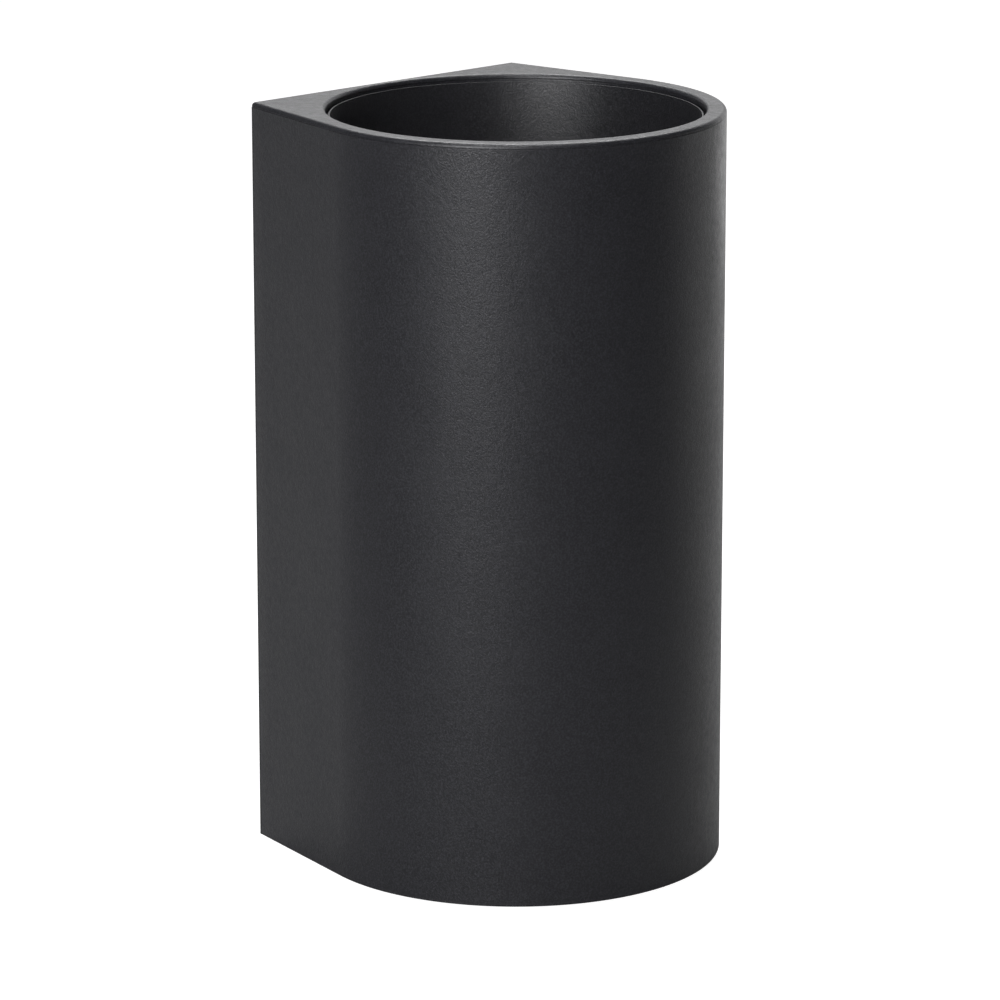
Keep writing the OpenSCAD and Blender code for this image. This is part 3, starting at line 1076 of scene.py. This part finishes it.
class BIN_OT_tray(bpy.types.Operator):
    """Build the ash tray, stub grid, its rivets, the knob and its screw"""

    bl_idname = "bin.tray"
    bl_label = "Ash Tray"

    def execute(self, context):
        tray, middle = context.scene.bin_tray, axis_point(context.scene.bin_casing)
        lip = node_high("ash_tray").z - tray.depth + tray.lip
        build_dish(tray, middle, lip)
        build_grid(tray, middle, lip)
        build_grid_rivets(tray, middle)
        build_knob(middle)
        screw = fastener((0.004, 0.0023), (0.0019, 0.008), (0.0019, 0.0002))
        spot = Vector((middle.x, middle.y, lip))
        rivets("knob_screw_set", "tray", "zinc_plate", "knob_screw", [(spot, Vector((0, 0, -1)))], screw)
        return {"FINISHED"}


def build_dish(tray, middle, lip):
    """Flanged dish with a raised lip round its drop hole."""
    top, t, drop = node_high("ash_tray").z, tray.sheet, tray.drop
    dish_top, dish_foot = 0.0825, 0.0785
    floor = top - tray.depth
    line = [(tray.radius, top - t / 2), (dish_top, top - t / 2), (dish_foot, floor - t / 2),
            (drop + t / 2, floor - t / 2), (drop + t / 2, lip)]
    section = sheet_section([Vector(p) for p in line], t, tray.bend)
    piece = make_mesh("ash_tray_dish", *spin(section, middle))
    place(piece, "tray", "stainless", "ash_tray")


# How far outside the tray's lip the stub grid's skirt begins and ends
SKIRT_INNER = 0.0005
SKIRT_OUTER = 0.002


def build_grid(tray, middle, lip):
    """Round cap with a skirt over the tray's lip, and four windows round its hub."""
    low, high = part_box("stub_grid")
    bore, edge = 0.0021, tray.drop + tray.sheet
    inner, outer = edge + SKIRT_INNER, edge + SKIRT_OUTER
    section = fillet([(bore, lip), (inner, lip), (inner, low.z), (outer, low.z),
                      (outer, high.z), (bore, high.z)],
                     [0.0001, 0.0003, 0.0002, 0.0002, 0.0009, 0.0002], 4)
    piece = make_mesh("stub_grid_plate", *spin(section, middle, 144))
    cut_out(piece, [window(middle, k, lip, high.z) for k in range(4)])
    place(piece, "tray", "stainless", "stub_grid")


def window(middle, quarter, low, high):
    """One window of the grid as a bar to cut with."""
    hub, reach, spoke, soft, past = 0.010, 0.0245, 0.0025, 0.0012, 0.003
    far_steps, near_steps = 20, 10
    line = []
    for r, steps, way in ((reach, far_steps, 1), (hub, near_steps, -1)):
        a = math.asin(spoke / r)
        turns = [a + (math.pi / 2 - 2 * a) * k / steps for k in range(steps + 1)]
        line += [(r * math.cos(t), r * math.sin(t)) for t in turns[::way]]
    turn = Matrix.Rotation(math.pi / 2 * quarter, 2)
    corners = (0, far_steps, far_steps + 1, len(line) - 1)
    rounding = [soft if k in corners else 0.0 for k in range(len(line))]
    loop = [turn @ p + middle for p in fillet(line, rounding, 4)]
    return loft([at_height(loop, low - past), at_height(loop, high + past)], caps=True)


def build_grid_rivets(tray, middle):
    """Four rivets through the grid's skirt and the tray's lip."""
    z = (node_low("grid_rivets").z + node_high("grid_rivets").z) / 2
    outer = tray.drop + tray.sheet + SKIRT_OUTER
    ways = [outward(a) for a in DIAGONALS]
    spots = [(Vector((middle.x, middle.y, z)) + way * outer, way) for way in ways]
    sizes = fastener((0.002, 0.0009), (0.0012, outer - tray.drop), (0.002, 0.0009))
    rivets("grid_rivet_set", "tray", "stainless", "grid_rivets", spots, sizes)


def build_knob(middle):
    """Turned knob with a waist above its foot."""
    low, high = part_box("tray_knob")
    foot, waist, rim, top = 0.006, 0.005, 0.009, 0.0075
    waist_z, rim_z, edge_z = low.z + 0.003, low.z + 0.007, low.z + 0.0095
    section = fillet([(CORE, low.z), (foot, low.z), (waist, waist_z), (rim, rim_z),
                      (rim, edge_z), (top, high.z), (CORE, high.z)],
                     [0, 0.0003, 0.002, 0.0012, 0.001, 0.0012, 0], 5)
    piece = make_mesh("tray_knob_turned", *spin(section, middle, 96, ring=False))
    place(piece, "tray", "black_plastic", "tray_knob")


class BIN_OT_studio(bpy.types.Operator):
    """Set the floor, soft lights and camera"""

    bl_idname = "bin.studio"
    bl_label = "Studio"

    def execute(self, context):
        scene = context.scene
        studio = scene.bin_studio
        build_floor(studio, tuple(scene.bin_finishes.floor))

        az, el = studio.azimuth, studio.elevation
        back = Vector((math.sin(az) * math.cos(el), -math.cos(az) * math.cos(el), math.sin(el)))
        right = Vector((math.cos(az), math.sin(az), 0.0))
        aim = Vector((0, centre_y(scene.bin_casing), studio.aim_height)) + right * studio.aim_side
        lens = bpy.data.cameras.new("studio_camera")
        lens.sensor_width = 36.0
        lens.lens = studio.focal
        lens.clip_end = 60.0
        camera = show(bpy.data.objects.new("studio_camera", lens))
        camera.location = aim + back * studio.distance
        camera.rotation_euler = back.to_track_quat("Z", "Y").to_euler()
        scene.camera = camera

        def softbox(name, bearing, height, away, size, power, spread=180):
            """Area light; bearing is its turn from the camera, to the left when negative."""
            a = az + math.radians(bearing)
            spot = aim + Vector((math.sin(a) * away, -math.cos(a) * away, height))
            data = bpy.data.lights.new(name, "AREA")
            data.shape = "RECTANGLE"
            data.size, data.size_y = size
            data.energy = power
            data.spread = math.radians(spread)
            lamp = show(bpy.data.objects.new(name, data))
            lamp.location = spot
            lamp.rotation_euler = (spot - aim).to_track_quat("Z", "Y").to_euler()

        softbox("key", -23, 0.9, 2.2, (1.2, 1.4), studio.key_power)
        softbox("overhead", -8, 2.2, 0.6, (0.9, 0.7), studio.top_power, 50)
        softbox("rear_high", 180, 1.8, 1.3, (1.6, 0.8), studio.high_power)
        softbox("rear_low", 180, 0.85, 2.6, (1.6, 0.7), studio.rear_power)
        softbox("rear_right", 150, 0.3, 2.0, (0.8, 1.2), studio.right_power)
        softbox("rear_left", -150, 0.0, 1.0, (0.5, 0.8), studio.left_power)
        softbox("side_right", 112, 0.0, 1.6, (0.5, 1.0), studio.side_power)
        scene.world = surround(studio, -back)
        scene.view_settings.view_transform = "Standard"
        return {"FINISHED"}


def build_floor(studio, colour):
    """Pale floor, lit white for the camera and glowing softly behind the bin."""
    paint, tree, sockets, where = new_material("Pale Floor")
    dust = noise(tree, -700, 0, 3.0, 2.0, 0.5, where)
    tone = mix_colour(tree, -300, 0, dust, shade(colour, 0.995), shade(colour, 1.005))
    tree.links.new(tone, sockets["Base Color"])
    sockets["Roughness"].default_value = 0.85
    sockets["Specular IOR Level"].default_value = 0.2
    sockets["Emission Color"].default_value = (1, 1, 1, 1)
    seen = add_node(tree, "ShaderNodeLightPath", -300, -500).outputs["Is Camera Ray"]
    behind = (-math.sin(studio.azimuth), math.cos(studio.azimuth), 0.0)
    feeds = {0: where, 1: behind}
    depth = add_node(tree, "ShaderNodeVectorMath", -700, -700, feeds, operation="DOT_PRODUCT")
    far = remap(tree, -500, -700, depth.outputs["Value"], -0.1, 0.6, 0.0, studio.far_glow)
    feeds = {"Factor": seen, "A": far, "B": studio.floor_glow}
    glow = add_node(tree, "ShaderNodeMix", -50, -500, feeds, data_type="FLOAT")
    tree.links.new(glow.outputs["Result"], sockets["Emission Strength"])
    wide = 14.0
    points = [(-wide, -wide, 0), (wide, -wide, 0), (wide, wide, 0), (-wide, wide, 0)]
    mesh = bpy.data.meshes.new("studio_floor")
    mesh.from_pydata(points, [], [(0, 1, 2, 3)])
    mesh.materials.append(paint)
    show(bpy.data.objects.new("studio_floor", mesh))


def surround(studio, behind):
    """Soft room: bright backdrop behind the bin, dim in front of it."""
    world = bpy.data.worlds.new("Studio Surround")
    world.use_nodes = True
    tree = world.node_tree
    where = add_node(tree, "ShaderNodeTexCoord", -900, 0).outputs["Generated"]
    feeds = {0: where, 1: Vector((behind.x, behind.y, 0)).normalized()}
    facing = add_node(tree, "ShaderNodeVectorMath", -700, 0, feeds, operation="DOT_PRODUCT")
    room = tree.nodes["Background"]
    room.inputs["Color"].default_value = (1, 1, 1, 1)
    level = remap(tree, -450, 0, facing.outputs["Value"], 0.0, 0.9, studio.ambient, studio.backdrop)
    tree.links.new(level, room.inputs["Strength"])
    return world


class BIN_PT_panel(bpy.types.Panel):
    """Sizes, finishes and build steps of the bin"""

    bl_idname = "BIN_PT_panel"
    bl_label = "Ashtray Bin"
    bl_space_type = "VIEW_3D"
    bl_region_type = "UI"
    bl_category = "Ashtray Bin"

    def draw(self, context):
        scene, layout = context.scene, self.layout
        for name in GROUPS:
            group, box = getattr(scene, name), layout.box()
            for key in group.bl_rna.properties.keys():
                if key not in ("rna_type", "name"):
                    box.prop(group, key)
        for step in STEPS:
            layout.operator(step.bl_idname)


STEPS = (
    BIN_OT_studio,
    BIN_OT_front_shell,
    BIN_OT_back_panel,
    BIN_OT_top_plate,
    BIN_OT_mouth_collar,
    BIN_OT_casing_fittings,
    BIN_OT_liner,
    BIN_OT_handle,
    BIN_OT_tray,
)
GROUPS = {
    "bin_casing": CasingSizes,
    "bin_liner": LinerSizes,
    "bin_tray": TraySizes,
    "bin_finishes": Finishes,
    "bin_studio": StudioSettings,
}


def register():
    """Registers the sizes, the steps and the panel."""
    for group in GROUPS.values():
        bpy.utils.register_class(group)
    for key, group in GROUPS.items():
        setattr(bpy.types.Scene, key, bpy.props.PointerProperty(type=group))
    for step in STEPS:
        bpy.utils.register_class(step)
    bpy.utils.register_class(BIN_PT_panel)


def unregister():
    """Takes back what register added, in the opposite order."""
    bpy.utils.unregister_class(BIN_PT_panel)
    for step in reversed(STEPS):
        bpy.utils.unregister_class(step)
    for key, group in GROUPS.items():
        delattr(bpy.types.Scene, key)
        bpy.utils.unregister_class(group)


def main():
    """Builds the studio and every piece."""
    register()
    bpy.ops.bin.studio()
    bpy.ops.bin.front_shell()
    bpy.ops.bin.back_panel()
    bpy.ops.bin.top_plate()
    bpy.ops.bin.mouth_collar()
    bpy.ops.bin.casing_fittings()
    bpy.ops.bin.liner()
    bpy.ops.bin.handle()
    bpy.ops.bin.tray()


if __name__ == "__main__":
    main()
